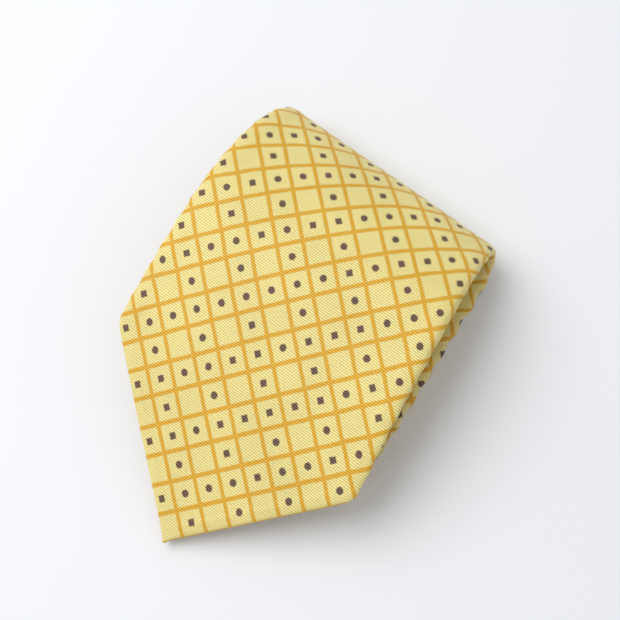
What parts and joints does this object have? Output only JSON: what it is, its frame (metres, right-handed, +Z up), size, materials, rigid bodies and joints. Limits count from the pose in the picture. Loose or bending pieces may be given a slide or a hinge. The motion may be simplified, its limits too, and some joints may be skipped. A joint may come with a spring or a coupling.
{
  "type": "necktie",
  "caption": "Rolled silk necktie with the pointed end of its front blade laid over the roll, free to lift at the fold.",
  "frame": {"origin": "centre of the bounding box in X and Y, on the surface that the roll rests on", "axes": "+X across the blade, +Y from the blade's point towards the fold, +Z up"},
  "size_m": [0.0982, 0.121, 0.0329],
  "materials": {
    "silk": "twill silk, pale yellow with a gold check and small brown motifs",
    "interlining": "matt brushed wool",
    "lining": "plain satin",
    "ribbon": "blank woven ribbon",
    "thread": "twisted sewing thread"
  },
  "bodies": {
    "roll": {"blade_shell_roll": "silk", "neck_shell": "silk", "tail_shell": "silk", "interlining_roll": "interlining", "tail_tipping": "lining", "keeper_loop": "silk", "tail_bar_tack": "thread"},
    "flap": {"blade_shell_flap": "silk", "interlining_flap": "interlining", "blade_tipping": "lining", "care_label": "ribbon", "blade_bar_tack": "thread"}
  },
  "joints": [
    {"name": "flap_lift", "type": "hinge", "parent": "roll", "child": "flap", "pos_m": [0, 0.03947, 0.03236], "axis": [-1, 0, 0], "range_deg": [0, 110]}
  ]
}
